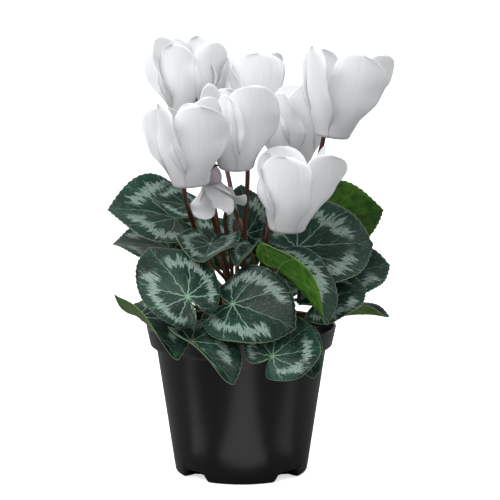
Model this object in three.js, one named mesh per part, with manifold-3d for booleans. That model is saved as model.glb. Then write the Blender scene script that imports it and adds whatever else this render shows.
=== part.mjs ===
// A potted cyclamen in bloom: heart-shaped leaves and nodding white flowers on
// stalks that all grow from one corm, half sunk in the soil of a nursery pot.
// Millimetres, +Z up. The origin is the middle of the pot's foot and -Y is the front.
import * as THREE from "three";
import { mergeVertices } from "three/addons/utils/BufferGeometryUtils.js";
import Module from "manifold-3d";

const wasm = await Module();
wasm.setup();

// ---- driving dimensions ----
const potHeight = 94;
const rimRadius = 60;
const rimFootRadius = 57.5;
const rimDepth = 12.6;
const neckRadius = 54;
const footRadius = 42;
const wall = 1.3;
const floorThickness = 1.4;
const footCorner = 2.5;
const gap = 0.3; // clearance between pieces that touch
const roundSteps = 24;

const archCount = 4; // arches under the foot that let water out
const archWidth = 22;
const archHeight = 5.6;
const archInner = 31;
const archOuter = 50;
const drainRadius = 3;
const drainDistance = 35;

const soilLevel = 81;
const soilMound = 2.2;
const cormRadius = 22;
const cormCrownRadius = 18.5;
const cormTop = 91;
const cormBottom = 68;

const bladeThickness = 0.7;
const leafSpokes = 14;
const leafRings = [0.42, 0.75, 1];
const edgeWaves = 5; // waves round a leaf's edge
const petioleRadius = 1.3;
const pedicelRadius = 1.6;

const petalThickness = 0.7;
const rollRows = [0, 0.5]; // rows of the petal's fold, as shares of it
const petalRows = [0, 0.4, 0.8, 1]; // rows of its blade, as shares of its length
const petalColumns = [-1, 0, 1];
const petalSpacing = 66; // degrees; the wider fifth gap is where the pedicel passes
const mouthRadius = 5.6;
const mouthRoll = 2.8; // radius of the petals' fold round the mouth
const clawHalfWidth = 3.2;
const neckHalfWidth = 6.4;
const tipHalfWidth = 4;
const petalBelly = 0.48; // share of the blade's length where it is first at full width
const petalShoulder = 0.55; // and where it starts to taper
const cupHeight = 11;

// ---- finishes ----
const finishes = {
  pot: new THREE.MeshStandardMaterial({ color: 0x1b1b1c, roughness: 0.42 }),
  soil: new THREE.MeshStandardMaterial({ color: 0x2b1f17, roughness: 0.95 }),
  corm: new THREE.MeshStandardMaterial({ color: 0x5b4230, roughness: 0.9 }),
  leaf: new THREE.MeshStandardMaterial({ color: 0x24483a, roughness: 0.5 }),
  petal: new THREE.MeshStandardMaterial({ color: 0xeef1f3, roughness: 0.55 }),
  stalk: new THREE.MeshStandardMaterial({ color: 0x5a2d20, roughness: 0.5 }),
};

// ---- solids ----
const vec = (x, y, z) => new THREE.Vector3(x, y, z);
const radians = THREE.MathUtils.degToRad;
const smooth = (t) => t * t * (3 - 2 * t);

function toSolid(geometry) {
  const bare = geometry.index ? geometry.clone() : geometry;
  bare.deleteAttribute("normal");
  bare.deleteAttribute("uv");
  const merged = mergeVertices(bare, 1e-4);
  return new wasm.Manifold(new wasm.Mesh({
    numProp: 3,
    vertProperties: new Float32Array(merged.attributes.position.array),
    triVerts: new Uint32Array(merged.index.array),
  }));
}

function toGeometry(solid) {
  const { vertProperties, triVerts } = solid.getMesh();
  const geometry = new THREE.BufferGeometry();
  geometry.setAttribute("position", new THREE.BufferAttribute(vertProperties, 3));
  geometry.setIndex(new THREE.BufferAttribute(triVerts, 1));
  geometry.computeVertexNormals();
  return geometry;
}

// A closed body between two sheets of points that share one split into triangles,
// with walls along the rim, which runs the way the upper triangles turn.
function closedSheet(upper, lower, triangles, rim) {
  const count = upper.length;
  const faces = [...triangles];
  for (let i = 0; i < triangles.length; i += 3) {
    faces.push(triangles[i + 2] + count, triangles[i + 1] + count, triangles[i] + count);
  }
  rim.forEach((a, i) => {
    const b = rim[(i + 1) % rim.length];
    faces.push(a, a + count, b + count, a, b + count, b);
  });
  const geometry = new THREE.BufferGeometry().setFromPoints([...upper, ...lower]);
  geometry.setIndex(faces);
  return toSolid(geometry);
}

// A thin plate with its thickness shared evenly on both sides of a middle sheet.
function plate(points, triangles, rim, thickness) {
  const middle = new THREE.BufferGeometry().setFromPoints(points);
  middle.setIndex(triangles);
  middle.computeVertexNormals();
  const normals = middle.attributes.normal;
  const face = (side) => points.map((point, i) => {
    const normal = vec().fromBufferAttribute(normals, i);
    return point.clone().addScaledVector(normal, side * thickness / 2);
  });
  return closedSheet(face(1), face(-1), triangles, rim);
}

function tube(points, radius, steps, sides) {
  const path = new THREE.CatmullRomCurve3(points, false, "catmullrom", 0.5);
  const section = new THREE.Shape();
  for (let i = 0; i < sides; i++) {
    const turn = (2 * Math.PI * i) / sides;
    const corner = [radius * Math.cos(turn), radius * Math.sin(turn)];
    if (i === 0) section.moveTo(...corner);
    else section.lineTo(...corner);
  }
  const settings = { steps, extrudePath: path, bevelEnabled: false };
  return toSolid(new THREE.ExtrudeGeometry(section, settings));
}

function lathe(profile, segments) {
  const points = profile.map(([radius, height]) => new THREE.Vector2(radius, height));
  return toSolid(new THREE.LatheGeometry(points, segments).rotateX(Math.PI / 2));
}

const part = new THREE.Group();

function addPiece(name, geometry, finish) {
  const mesh = new THREE.Mesh(geometry, finishes[finish]);
  mesh.name = name;
  part.add(mesh);
  return mesh;
}

// ---- pot: a thin moulded shell with a stepped rim and arches under its foot ----
const neckHeight = potHeight - rimDepth;

function archCutter(angle, growth) {
  const half = archWidth / 2 + growth;
  const top = archHeight + growth;
  const shape = new THREE.Shape();
  shape.moveTo(-half, -4);
  shape.lineTo(-half, 0);
  shape.bezierCurveTo(-half + 3, 0, -half + 2, top, -half + 5, top);
  shape.lineTo(half - 5, top);
  shape.bezierCurveTo(half - 2, top, half - 3, 0, half, 0);
  shape.lineTo(half, -4);
  const settings = { depth: archOuter - archInner + growth, bevelEnabled: false, curveSegments: 3 };
  const cutter = new THREE.ExtrudeGeometry(shape, settings);
  cutter.rotateX(Math.PI / 2).translate(0, archOuter, 0);
  return toSolid(cutter.rotateZ(angle));
}

const archAngles = Array.from({ length: archCount }, (_, i) => radians(45 + 90 * i));

function archCutters(growth) {
  return archAngles.map((angle) => archCutter(angle, growth)).reduce((all, one) => all.add(one));
}

function potInside(clearance) {
  const floor = floorThickness + clearance;
  const foot = footRadius - wall - clearance;
  const inside = lathe([
    [0, floor],
    [foot - 1.5, floor],
    [foot, floor + 1.5],
    [neckRadius - wall - clearance, neckHeight],
    [rimFootRadius - wall - clearance, neckHeight + wall + 1],
    [rimRadius - wall - clearance, potHeight + 2],
    [0, potHeight + 2],
  ], roundSteps);
  return inside.subtract(archCutters(wall + clearance));
}

const potOutside = lathe([
  [0, 0],
  [footRadius - footCorner, 0],
  [footRadius - 0.6, 0.8],
  [footRadius, footCorner],
  [neckRadius, neckHeight],
  [rimFootRadius - 0.8, neckHeight],
  [rimFootRadius, neckHeight + 1],
  [rimRadius, potHeight - 1],
  [rimRadius - 0.5, potHeight],
  [0, potHeight],
], roundSteps);

const drains = archAngles.map((angle) => {
  const drain = new THREE.CylinderGeometry(drainRadius, drainRadius, 12, 8).rotateX(Math.PI / 2);
  const out = vec(-Math.sin(angle), Math.cos(angle), 0).multiplyScalar(drainDistance);
  return toSolid(drain.translate(out.x, out.y, archHeight));
}).reduce((all, one) => all.add(one));

const potSolid = potOutside.subtract(archCutters(0)).subtract(potInside(0)).subtract(drains);
addPiece("pot", toGeometry(potSolid), "pot");

// ---- corm: a flattened tuber, corky and flat-crowned, half out of the soil ----
function cormSolid(growth) {
  return lathe([
    [0, cormBottom - growth],
    [cormRadius * 0.55, cormBottom + 1.5 - growth],
    [cormRadius * 0.93 + growth, cormBottom + 7],
    [cormRadius + growth, cormBottom + 13],
    [cormRadius - 1 + growth, cormTop - 3.5],
    [cormCrownRadius + growth, cormTop + growth],
    [0, cormTop + growth],
  ], 12);
}
addPiece("corm", toGeometry(cormSolid(0)), "corm");

// ---- soil: fills the pot to below the rim, mounded and lumpy round the corm ----
const soilCells = 5;

function soilSolid() {
  const span = 2 * neckRadius + 8;
  const grid = new THREE.PlaneGeometry(span, span, soilCells, soilCells);
  const spots = grid.attributes.position;
  const top = Array.from({ length: spots.count }, (_, i) => {
    const [x, y] = [spots.getX(i), spots.getY(i)];
    const mound = soilMound * Math.max(0, 1 - Math.hypot(x, y) / neckRadius);
    return vec(x, y, soilLevel + mound + 0.8 * Math.sin(x * 0.43 + 1) * Math.cos(y * 0.37));
  });
  const under = top.map((spot) => vec(spot.x, spot.y, -1));
  const line = soilCells + 1;
  const steps = Array.from({ length: soilCells }, (_, i) => i);
  const rim = [
    ...steps.map((i) => i * line),
    ...steps.map((i) => soilCells * line + i),
    ...steps.map((i) => (soilCells - i) * line + soilCells),
    ...steps.map((i) => soilCells - i),
  ];
  const block = closedSheet(top, under, [...grid.index.array], rim);
  return block.intersect(potInside(gap)).subtract(cormSolid(gap));
}
addPiece("soil", toGeometry(soilSolid()), "soil");

// ---- stalks: all stand on the corm's crown ----
function crownPoint([radius, angle]) {
  const turn = radians(angle);
  return vec(radius * Math.cos(turn), radius * Math.sin(turn), cormTop + gap);
}

// ---- leaves ----
// Each leaf is given by its joint with the stalk, its tip, how far it rolls about the
// line between them, its breadth, the fold of its left and right halves, the curl of
// its tip and the wave of its edge. The foot is where its stalk stands on the crown:
// distance from the middle, and angle from +X.
const leaves = [
  // front
  { name: "leaf_front", joint: [-5, -51, 116], tip: [33, -68, 104],
    roll: 46, broad: 0.98, foot: [11.5, -98] },
  { name: "leaf_front_left", joint: [-32, -60, 122], tip: [-57, -26, 147],
    roll: -42, broad: 0.72, foldRight: -22, foot: [16, -118] },
  { name: "leaf_front_right_low", joint: [19, -72, 88], tip: [43, -51, 103],
    roll: 38, via: [16, -58, 96.8], foot: [17, -72] },
  { name: "leaf_front_left_low", joint: [-30, -61, 95], tip: [-4, -79, 72],
    roll: 20, broad: 0.85, foldLeft: 20, foldRight: 50, via: [-26, -51, 99], foot: [17, -106] },
  { name: "leaf_front_tip", joint: [35, -50, 97], tip: [44, -67, 73],
    roll: 5, broad: 0.6, via: [30, -43, 97], foot: [17, -50] },
  { name: "leaf_fold_right", joint: [23, -46, 136], tip: [52, -62, 105],
    roll: 8, broad: 0.95, foldLeft: 20, foldRight: 62, foot: [11.5, -58] },
  { name: "leaf_young", joint: [5, -31, 147], tip: [-3, -45, 138],
    roll: 0, broad: 0.85, foldLeft: 45, foldRight: 45, wave: 0.8, foot: [11.5, -78] },
  // middle
  { name: "leaf_centre", joint: [-19, -25, 149], tip: [-23, -52, 142],
    roll: 0, broad: 1.2, foldLeft: 28, foldRight: 28, curl: -10, foot: [6, -128] },
  { name: "leaf_centre_left", joint: [-34, 0, 169], tip: [-56, -5, 173],
    roll: -35, via: [-29, 1, 156], foot: [6, 178] },
  { name: "leaf_centre_back", joint: [3, 12, 150], tip: [0, 23, 180],
    roll: 0, broad: 0.75, foldLeft: 20, foldRight: 20, foot: [6, 75] },
  // left
  { name: "leaf_left", joint: [-42, 9, 160], tip: [-84, 1, 167],
    roll: -34, broad: 1.1, via: [-36, 14, 148], foot: [11.5, 180] },
  { name: "leaf_left_back", joint: [-46, 18, 138], tip: [-82, 14, 143], roll: -20, foot: [12, 150] },
  { name: "leaf_left_low", joint: [-63, -34, 105], tip: [-38, -65, 84],
    roll: 12, broad: 0.9, foldLeft: 15, foldRight: 60, via: [-56, -26, 101], foot: [17, -150] },
  { name: "leaf_left_back_low", joint: [-46, 26, 103], tip: [-68, 50, 90],
    roll: 0, broad: 0.85, foot: [17, 140] },
  // right
  { name: "leaf_right", joint: [35, -16, 145], tip: [83, -3, 145],
    roll: 48, broad: 1, foot: [11.5, -25] },
  { name: "leaf_right_back", joint: [52, 33, 152], tip: [91, 30, 163],
    roll: -65, broad: 1, foot: [11.5, 45] },
  { name: "leaf_right_tip", joint: [57, -2, 122], tip: [94, 3, 131],
    roll: 36, broad: 1, foot: [12, 10] },
  { name: "leaf_right_mid", joint: [47, -29, 113], tip: [78, -21, 120],
    roll: 38, broad: 0.95, foot: [16, -28] },
  { name: "leaf_right_low", joint: [59, -15, 101], tip: [93, -11, 101],
    roll: 16, broad: 0.75, foldRight: 50, via: [49, -14, 99], foot: [17, -10] },
  { name: "leaf_right_back_low", joint: [50, 16, 103], tip: [78, 29, 95], roll: 0, foot: [17, 25] },
  // back
  { name: "leaf_back_left", joint: [-36, 46, 119], tip: [-58, 76, 114], roll: 0, foot: [16, 118] },
  { name: "leaf_back_left_high", joint: [-20, 38, 133], tip: [-37, 59, 158], roll: 0, foot: [11.5, 120] },
  { name: "leaf_back_low", joint: [-3, 58, 101], tip: [-5, 88, 79], roll: 0, broad: 0.85, foot: [17, 92] },
  { name: "leaf_back_high", joint: [14, 32, 136], tip: [18, 52, 168], roll: 0, foot: [11.5, 85] },
  { name: "leaf_back_right", joint: [29, 44, 113], tip: [42, 62, 134], roll: 0, foot: [16, 62] },
];

function leafOutline(angle) {
  const turn = Math.abs(angle);
  const heart = 0.62 + 0.24 * Math.cos(turn) + 0.14 * Math.exp(-turn / 0.3);
  const sinus = 1 - 0.86 * Math.exp(-(((Math.PI - turn) / 0.3) ** 2));
  return heart * sinus;
}

function leafFrame({ joint, tip, roll }) {
  const along = vec(...tip).sub(vec(...joint));
  const length = along.length();
  along.normalize();
  const level = vec(-along.y, along.x, 0).normalize();
  const left = level.clone().applyAxisAngle(along, radians(roll));
  const up = along.clone().cross(left);
  return { length, along, left, up };
}

function leafSolid(leaf) {
  const { broad = 1, foldLeft = 10, foldRight = 10, curl = 30, wave = 1.6 } = leaf;
  const { length, along, left, up } = leafFrame(leaf);
  const bend = radians(curl) / length;
  const chord = curl === 0 ? 1 : Math.sin(radians(curl) / 2) / (radians(curl) / 2);
  const joint = vec(...leaf.joint);
  const points = [];
  const place = (ring, angle) => {
    const reach = ring * leafOutline(angle) * length / chord;
    const s = reach * Math.cos(angle);
    const t = reach * Math.sin(angle) * broad;
    const fold = radians(t > 0 ? foldLeft : foldRight);
    const rise = Math.sin(fold) * (Math.hypot(t, 4) - 4);
    const ripple = wave * ring ** 3 * Math.sin(edgeWaves * angle);
    const turn = bend * s - radians(curl) / 2;
    const arc = curl === 0 ? [s, 0] : [
      (Math.sin(turn) + Math.sin(radians(curl) / 2)) / bend,
      (Math.cos(turn) - Math.cos(radians(curl) / 2)) / bend,
    ];
    const height = rise + ripple;
    const x = arc[0] + height * Math.sin(turn);
    const z = arc[1] + height * Math.cos(turn);
    const point = joint.clone().addScaledVector(along, x).addScaledVector(left, t * Math.cos(fold));
    points.push(point.addScaledVector(up, z));
  };
  place(0, 0);
  const triangles = [];
  leafRings.forEach((ring, k) => {
    const first = 1 + k * leafSpokes;
    for (let i = 0; i < leafSpokes; i++) {
      const angle = Math.PI * (2 * i / leafSpokes - 1);
      const tooth = k === leafRings.length - 1 ? 1 + 0.03 * (i % 2 ? -1 : 1) : 1;
      place(ring * tooth, angle);
      const next = (i + 1) % leafSpokes;
      if (k === 0) triangles.push(0, first + i, first + next);
      else {
        const inner = first - leafSpokes;
        triangles.push(inner + i, first + i, first + next, inner + i, first + next, inner + next);
      }
    }
  });
  const last = 1 + (leafRings.length - 1) * leafSpokes;
  const rim = Array.from({ length: leafSpokes }, (_, i) => last + i);
  const blade = plate(points, triangles, rim, bladeThickness);
  const foot = crownPoint(leaf.foot);
  const climb = joint.z - foot.z;
  const below = leaf.via ? vec(...leaf.via) : joint.clone().addScaledVector(up, -12);
  const rise = foot.clone().lerp(below, 0.25).add(vec(0, 0, Math.max(0.3 * climb, 10)));
  const collar = foot.clone().add(vec(0, 0, 5));
  const petiole = tube([foot, collar, rise, below, joint], petioleRadius, 5, 4);
  return blade.add(petiole);
}

leaves.forEach((leaf) => addPiece(leaf.name, toGeometry(leafSolid(leaf)), "leaf"));

// ---- blooms ----
// Each bloom hangs with its mouth down: the petals start at the mouth's edge, fold
// back on themselves and stand up round the cup. A bloom is given by the middle of
// its mouth, the way and the degrees that its axis leans, and the side where its pedicel
// comes up. Its petals have lengths and half widths of their own; flare is how far the
// blades stand off the axis, pressed what a crowded petal adds to that, bow how far they
// bend by their tips, twist how far they turn, and reflex how far they fold back.
const blooms = [
  { name: "bloom_front", mouth: [-3, -26, 199], lean: 8, toward: -90, stem: 60, foot: [5.5, -90],
    lengths: [44, 50, 46, 54, 44], widths: [14, 13, 14, 16, 14], pressed: [0, -10, -16, -6, -12] },
  { name: "bloom_left", mouth: [-30, -57, 192], lean: 5, toward: 190, stem: 110,
    foot: [11.5, -155], via: [-29, -12, 157], pressed: [-8, -8, 0, -14, -20] },
  { name: "bloom_right_low", mouth: [28, -50, 164], lean: 6, toward: -60, stem: 150,
    foot: [6, -45], via: [14, -17, 140], pressed: [-8, 0, 0, 0, -6] },
  { name: "bloom_right_high", mouth: [56, -24, 218], lean: 8, toward: 0, stem: 110,
    foot: [6, -5], via: [42, 7, 180], lengths: [50, 54, 54, 54, 50], pressed: [-12, 0, 0, 0, -6] },
  { name: "bloom_back_left", mouth: [-34, 30, 224], lean: 4, toward: 120, stem: -60, foot: [6, 145],
    pressed: [-8, -12, -4, -12, -6] },
  { name: "bloom_right_mid", mouth: [32, 12, 195], lean: 4, toward: 90, stem: 200,
    foot: [6, 35], via: [20, 5, 155], pressed: [-6, -8, -6, -12, -6] },
  { name: "bloom_back", mouth: [2, 50, 213], lean: 4, toward: 60, stem: 180,
    foot: [6, 112], via: [-4, 30, 158], pressed: [-8, -6, -10, 0, -6] },
  { name: "bloom_young", mouth: [-18, -32, 188], lean: 10, toward: 200, stem: 110,
    foot: [1, 180], via: [-13, -8, 146],
    lengths: [18, 20, 20, 20, 18], widths: [6, 8, 7, 8, 6],
    flare: 0, bow: -30, pressed: [20, 20, 0, 0, 0], reflex: 25 },
];

function bloomFrame({ mouth, lean, toward }) {
  const turn = radians(toward);
  const axle = vec(-Math.sin(turn), Math.cos(turn), 0);
  return new THREE.Matrix4().makeRotationAxis(axle, radians(lean)).setPosition(...mouth);
}

function petalPoint(petal, share, row, across) {
  const { length, halfWidth, flare, bow, twist, reflex, spread } = petal;
  const folded = radians(reflex);
  const turnedBack = row < 0 ? folded * share : folded;
  const radius = mouthRadius + mouthRoll * (1 - Math.cos(turnedBack));
  const height = -mouthRoll * Math.sin(turnedBack);
  const start = Math.PI - folded + radians(flare);
  const slope = row < 0 ? Math.PI - turnedBack : start + radians(bow) * share;
  const arc = length / radians(bow);
  const out = radius + (row < 0 ? 0 : arc * (Math.cos(start) - Math.cos(slope)));
  const rise = height + (row < 0 ? 0 : arc * (Math.sin(slope) - Math.sin(start)));
  const neck = clawHalfWidth + (neckHalfWidth - clawHalfWidth) * share;
  const belly = smooth(Math.min(share / petalBelly, 1));
  const beyond = Math.max((share - petalShoulder) / (1 - petalShoulder), 0);
  const taper = Math.cos((Math.PI / 2) * beyond ** 2.2) ** 0.6;
  const blade = (neckHalfWidth + (halfWidth - neckHalfWidth) * belly) * taper + tipHalfWidth * (1 - taper);
  const reach = across * (row < 0 ? neck : blade);
  const flat = row < 0 ? 0 : smooth(Math.min(share * 2, 1));
  const hollow = (1 - flat) / (2 * out) + flat * 0.006;
  const inward = -hollow * reach * reach;
  const turn = row < 0 ? 0 : radians(twist) * share ** 1.2;
  const aside = reach * Math.cos(turn) - inward * Math.sin(turn);
  const off = reach * Math.sin(turn) + inward * Math.cos(turn);
  const local = vec(out + off * Math.cos(slope), aside, rise - off * Math.sin(slope));
  return local.applyAxisAngle(vec(0, 0, 1), radians(spread));
}

function petalPlate(petal, frame) {
  const rows = [...rollRows.map((share) => [share, -1]), ...petalRows.map((share) => [share, 1])];
  const points = rows.flatMap(([share, row]) => petalColumns.map((across) =>
    petalPoint(petal, share, row, across).applyMatrix4(frame)));
  const width = petalColumns.length;
  const triangles = [];
  for (let i = 0; i + 1 < rows.length; i++) {
    for (let j = 0; j + 1 < width; j++) {
      const a = i * width + j;
      triangles.push(a, a + 1, a + width + 1, a, a + width + 1, a + width);
    }
  }
  const down = Array.from({ length: rows.length - 1 }, (_, i) => i * width);
  const over = Array.from({ length: width - 1 }, (_, j) => j);
  const last = points.length - 1;
  const rim = [
    ...over,
    ...down.map((i) => i + width - 1),
    ...over.map((j) => last - j),
    ...down.map((i) => last - width + 1 - i),
  ];
  return plate(points, triangles, rim, petalThickness);
}

function cupSolid(frame) {
  const profile = [
    [0, cupHeight - 2.5],
    [mouthRadius - 0.4, 4],
    [mouthRadius - 0.7, -0.2],
    [mouthRadius + 0.7, -0.2],
    [mouthRadius + 1.4, 4],
    [5, cupHeight - 2],
    [0, cupHeight],
  ].map(([radius, height]) => new THREE.Vector2(radius, height));
  return toSolid(new THREE.LatheGeometry(profile, 8).rotateX(Math.PI / 2).applyMatrix4(frame));
}

function calyxSolid(frame) {
  const lift = gap * 1.2;
  const profile = [
    [0, cupHeight + lift],
    [4.6, cupHeight - 1.84 + lift],
    [4.9, cupHeight - 1.2 + lift],
    [2.4, cupHeight + 1],
    [0, cupHeight + 2],
  ].map(([radius, height]) => new THREE.Vector2(radius, height));
  return toSolid(new THREE.LatheGeometry(profile, 6).rotateX(Math.PI / 2).applyMatrix4(frame));
}

function bloomPetals(bloom) {
  const frame = bloomFrame(bloom);
  const { lengths = [46, 50, 50, 50, 46], widths = [15, 18, 17, 18, 15], reflex = 180 } = bloom;
  const { flare = 24, bow = -14, twist = 34, pressed = [0, 0, 0, 0, 0] } = bloom;
  return lengths.map((length, i) => petalPlate({
    length,
    halfWidth: widths[i],
    flare: flare + pressed[i],
    bow,
    twist,
    reflex,
    spread: bloom.stem + 180 + petalSpacing * (i - 2),
  }, frame)).reduce((all, petal) => all.add(petal), cupSolid(frame));
}

function bloomStalk(bloom) {
  const frame = bloomFrame(bloom);
  const foot = crownPoint(bloom.foot);
  const collar = foot.clone().add(vec(0, 0, 5));
  const hook = [[14, -12], [12.5, 2], [9.5, 11.5], [4.6, 16.6], [0.8, 15.6], [0, cupHeight + 1]];
  const turn = radians(bloom.stem);
  const aside = vec(Math.cos(turn), Math.sin(turn), 0);
  const top = hook.map(([out, rise]) => aside.clone().multiplyScalar(out).setZ(rise).applyMatrix4(frame));
  const middle = bloom.via ? vec(...bloom.via) : foot.clone().lerp(top[0], 0.5).add(vec(0, 0, 8));
  return tube([foot, collar, middle, ...top], pedicelRadius, 12, 5).add(calyxSolid(frame));
}

blooms.forEach((bloom) => {
  addPiece(bloom.name, toGeometry(bloomPetals(bloom)), "petal");
  addPiece(`${bloom.name}_stalk`, toGeometry(bloomStalk(bloom)), "stalk");
});

// ---- bud: still shut, on a hooked stalk of its own ----
const budPath = [
  [-6, -15, 135], [-10, -17, 160], [-9, -18, 168], [-6, -19, 171], [-3, -20, 168], [-2, -20, 164],
];
const budLength = 14;
const budFoot = [11.5, -118];
const budStalkRadius = 1.2;

function budSolid() {
  const foot = crownPoint(budFoot);
  const collar = foot.clone().add(vec(0, 0, 5));
  const path = budPath.map((point) => vec(...point));
  const neck = path[path.length - 1];
  const head = lathe([
    [0, -1.5],
    [2.4, 0],
    [3.2, 0.3 * budLength],
    [2.2, 0.7 * budLength],
    [0, budLength],
  ], 7);
  const hanging = head.rotate([180, 0, 0]).translate([neck.x, neck.y, neck.z]);
  return tube([foot, collar, ...path], budStalkRadius, 12, 5).add(hanging);
}
addPiece("bud", toGeometry(budSolid()), "stalk");

export default part;
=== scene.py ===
import bpy
import numpy as np
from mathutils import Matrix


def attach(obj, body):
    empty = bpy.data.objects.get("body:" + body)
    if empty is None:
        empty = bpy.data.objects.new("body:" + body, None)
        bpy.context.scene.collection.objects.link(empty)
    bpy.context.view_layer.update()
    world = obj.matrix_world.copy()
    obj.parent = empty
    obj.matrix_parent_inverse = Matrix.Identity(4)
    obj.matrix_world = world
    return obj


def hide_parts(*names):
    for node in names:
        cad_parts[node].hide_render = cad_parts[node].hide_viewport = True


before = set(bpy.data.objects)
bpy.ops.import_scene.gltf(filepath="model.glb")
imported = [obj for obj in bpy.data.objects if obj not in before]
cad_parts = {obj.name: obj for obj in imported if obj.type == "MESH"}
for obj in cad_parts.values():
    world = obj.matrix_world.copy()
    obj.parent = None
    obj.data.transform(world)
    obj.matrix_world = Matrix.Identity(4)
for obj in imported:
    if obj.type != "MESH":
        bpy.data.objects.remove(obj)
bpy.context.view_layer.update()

# ---- pot ----
# A round nursery pot: one thin shell of black polypropylene, injection moulded, with a
# stepped rim and four arches under its foot that let water out. It stands on its foot.
MM = 0.001


def linear(code):
    """An sRGB hex colour as linear RGBA."""
    channels = np.array([int(code[i:i + 2], 16) for i in (1, 3, 5)]) / 255
    curve = np.where(channels <= 0.04045, channels / 12.92, ((channels + 0.055) / 1.055) ** 2.4)
    return (*curve.tolist(), 1.0)


def add(tree, kind, settings=None, inputs=None):
    """Adds a node with its settings; an input is a value, an output to link, or a node
    whose first output is linked."""
    node = tree.nodes.new(kind)
    for key, value in (settings or {}).items():
        setattr(node, key, value)
    for key, value in (inputs or {}).items():
        if isinstance(value, bpy.types.Node):
            value = value.outputs[0]
        if isinstance(value, bpy.types.NodeSocket):
            tree.links.new(value, node.inputs[key])
        else:
            node.inputs[key].default_value = value
    return node


def new_material(name):
    """A material and its node tree, still without nodes."""
    material = bpy.data.materials.new(name)
    material.use_nodes = True
    material.node_tree.nodes.clear()
    return material, material.node_tree


def principled(tree, values):
    """Gives the material a Principled shader with its constants and links."""
    shader = add(tree, "ShaderNodeBsdfPrincipled", None, values)
    add(tree, "ShaderNodeOutputMaterial", None, {"Surface": shader})


def new_piece(name, points, faces, materials, face_material=None, attributes=None):
    """A smooth-shaded object from points in millimetres."""
    mesh = bpy.data.meshes.new(name)
    mesh.from_pydata((np.asarray(points) * MM).tolist(), [], [face.tolist() for face in faces])
    for material in materials:
        mesh.materials.append(material)
    if face_material is not None:
        mesh.polygons.foreach_set("material_index", np.asarray(face_material, dtype=np.int32))
    mesh.polygons.foreach_set("use_smooth", np.ones(len(mesh.polygons), dtype=bool))
    for key, values in (attributes or {}).items():
        layer = mesh.attributes.new(key, "FLOAT_VECTOR", "POINT")
        layer.data.foreach_set("vector", np.asarray(values, dtype=np.float32).ravel())
    mesh.update()
    piece = bpy.data.objects.new(name, mesh)
    bpy.context.scene.collection.objects.link(piece)
    return piece


def band(rows, columns, first=0):
    """Quads that join each of the rows, closed rings of points, to the next."""
    i, j = np.meshgrid(np.arange(rows - 1), np.arange(columns), indexing="ij")
    a = first + i * columns + j
    b = first + i * columns + (j + 1) % columns
    return np.stack([a, b, b + columns, a + columns], axis=-1).reshape(-1, 4)


def fan(centre, ring, turned):
    """Triangles from a ring of points to its centre."""
    after = np.roll(ring, -1)
    middle = np.full_like(ring, centre)
    return np.stack([after, ring, middle] if turned else [ring, after, middle], axis=-1)


def revolved(profile, columns, start=0):
    """Points of a profile of (radius, height) turned about Z; its first and last points are
    on the axis and become one point each. Faces run outwards for a profile that goes from
    the bottom out and up to the top."""
    turn = np.linspace(0, 2 * np.pi, columns, endpoint=False)
    radius, height = profile[1:-1].T
    rings = np.stack([
        np.outer(radius, np.cos(turn)),
        np.outer(radius, np.sin(turn)),
        np.repeat(height[:, None], columns, axis=1),
    ], axis=-1)
    rows = len(radius)
    points = np.vstack([rings.reshape(-1, 3), [0, 0, profile[0, 1]], [0, 0, profile[-1, 1]]])
    low = start + np.arange(columns)
    high = low + (rows - 1) * columns
    ends = start + rows * columns
    faces = [*band(rows, columns, start), *fan(ends, low, True), *fan(ends + 1, high, False)]
    return points, faces


def rounded(points, steps):
    """A Catmull-Rom curve: a cubic through the points whose slope at each is half the way
    from the point before to the point after."""
    points = np.asarray(points, dtype=float)
    line = np.vstack([2 * points[0] - points[1], points, 2 * points[-1] - points[-2]])
    share = np.linspace(0, len(points) - 1, steps)
    step = np.minimum(share.astype(int), len(points) - 2)
    t = (share - step)[:, None]
    p0, p1, p2, p3 = (line[step + k] for k in range(4))
    return 0.5 * (2 * p1 + (p2 - p0) * t + (2 * p0 - 5 * p1 + 4 * p2 - p3) * t ** 2
                  + (3 * p1 - p0 - 3 * p2 + p3) * t ** 3)


POT_HEIGHT, RIM_RADIUS, RIM_DEPTH = 94, 60, 12.6
RIM_FOOT_RADIUS, NECK_RADIUS, FOOT_RADIUS, POT_WALL = 57.5, 54, 42, 1.3
ARCH_HALF_WIDTH, ARCH_HEIGHT, ARCH_START, ARCH_FADE = 11, 5.6, 31, 12
ARCH_SIDE_EASE, ARCH_START_EASE = 4.5, 1.5
pot_columns = 192


def rise(low, high, value):
    """0 below low, 1 above high, and an S-shaped cubic between."""
    share = np.clip((value - low) / (high - low), 0, 1)
    return share * share * (3 - 2 * share)


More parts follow.
